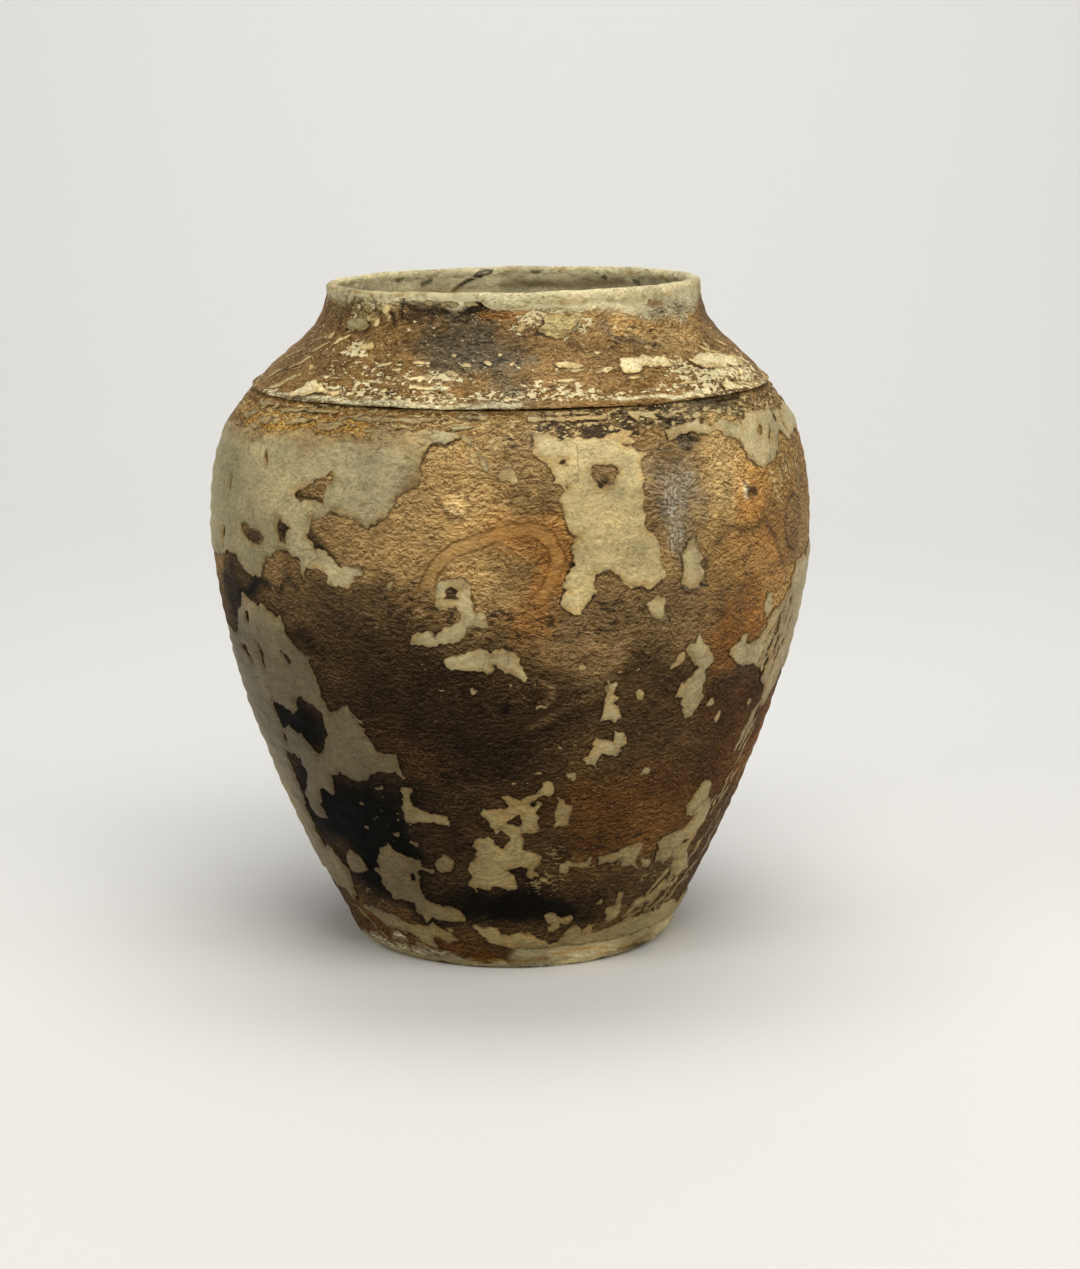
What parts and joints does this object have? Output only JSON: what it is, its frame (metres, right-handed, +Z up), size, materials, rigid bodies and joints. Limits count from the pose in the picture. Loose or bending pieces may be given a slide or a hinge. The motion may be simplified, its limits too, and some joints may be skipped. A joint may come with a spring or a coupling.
{
  "type": "raku pot",
  "caption": "Wide-mouthed thrown clay jar with a full belly, a ledged conical shoulder, a short neck and islands of pale slip on smoke-darkened clay.",
  "frame": {"origin": "centre of the flat foot's underside", "axes": "+Z up along the turning axis, -Y towards the viewer of the picture, +X to the viewer's right"},
  "size_m": [0.2482, 0.2472, 0.274],
  "materials": {
    "smoked_clay": "rough burnished brown clay with smoke-black zones and amber glints",
    "shoulder_clay": "satin brown clay with fine dark speckle",
    "pale_slip": "pale cream slip with a greenish cast, satin, dark at its broken edges"
  },
  "bodies": {
    "root": {"lower_body": "smoked_clay", "shoulder_collar": "shoulder_clay", "slip_rim_coat": "pale_slip", "slip_left_panel": "pale_slip", "slip_bead": "pale_slip", "slip_centre_panel": "pale_slip", "slip_right_tongue": "pale_slip", "slip_upper_right_band": "pale_slip", "slip_ring_scroll": "pale_slip", "slip_middle_bar": "pale_slip", "slip_teardrop": "pale_slip", "slip_right_wing": "pale_slip", "slip_right_splinter": "pale_slip", "slip_right_panel": "pale_slip", "slip_right_reed": "pale_slip", "slip_notched_tablet": "pale_slip", "slip_boot": "pale_slip", "slip_left_flank": "pale_slip", "slip_low_left_arm": "pale_slip", "slip_left_capsule": "pale_slip", "slip_left_low_block": "pale_slip", "slip_left_foot_sheet": "pale_slip", "slip_low_centre": "pale_slip", "slip_low_right_block": "pale_slip", "slip_low_wave": "pale_slip", "slip_lower_right": "pale_slip", "slip_foot_hook": "pale_slip", "slip_foot_right_band": "pale_slip", "slip_foot_bird": "pale_slip", "slip_foot_band": "pale_slip", "slip_back_upper_panel": "pale_slip", "slip_back_crown_band": "pale_slip", "slip_back_saddle": "pale_slip", "slip_back_leaf": "pale_slip", "slip_back_hook": "pale_slip", "slip_back_low_panel": "pale_slip", "slip_back_left_tongue": "pale_slip", "slip_back_foot_patch": "pale_slip", "slip_back_foot_band": "pale_slip", "slip_neck_patch": "pale_slip", "slip_neck_crumb": "pale_slip", "slip_shoulder_left": "pale_slip", "slip_shoulder_dash": "pale_slip", "slip_shoulder_scrap": "pale_slip", "slip_shoulder_right": "pale_slip", "slip_shoulder_far_right": "pale_slip", "slip_ledge_right": "pale_slip", "slip_shoulder_back_long": "pale_slip", "slip_shoulder_back_short": "pale_slip", "slip_shoulder_back_left": "pale_slip"}
  },
  "joints": []
}
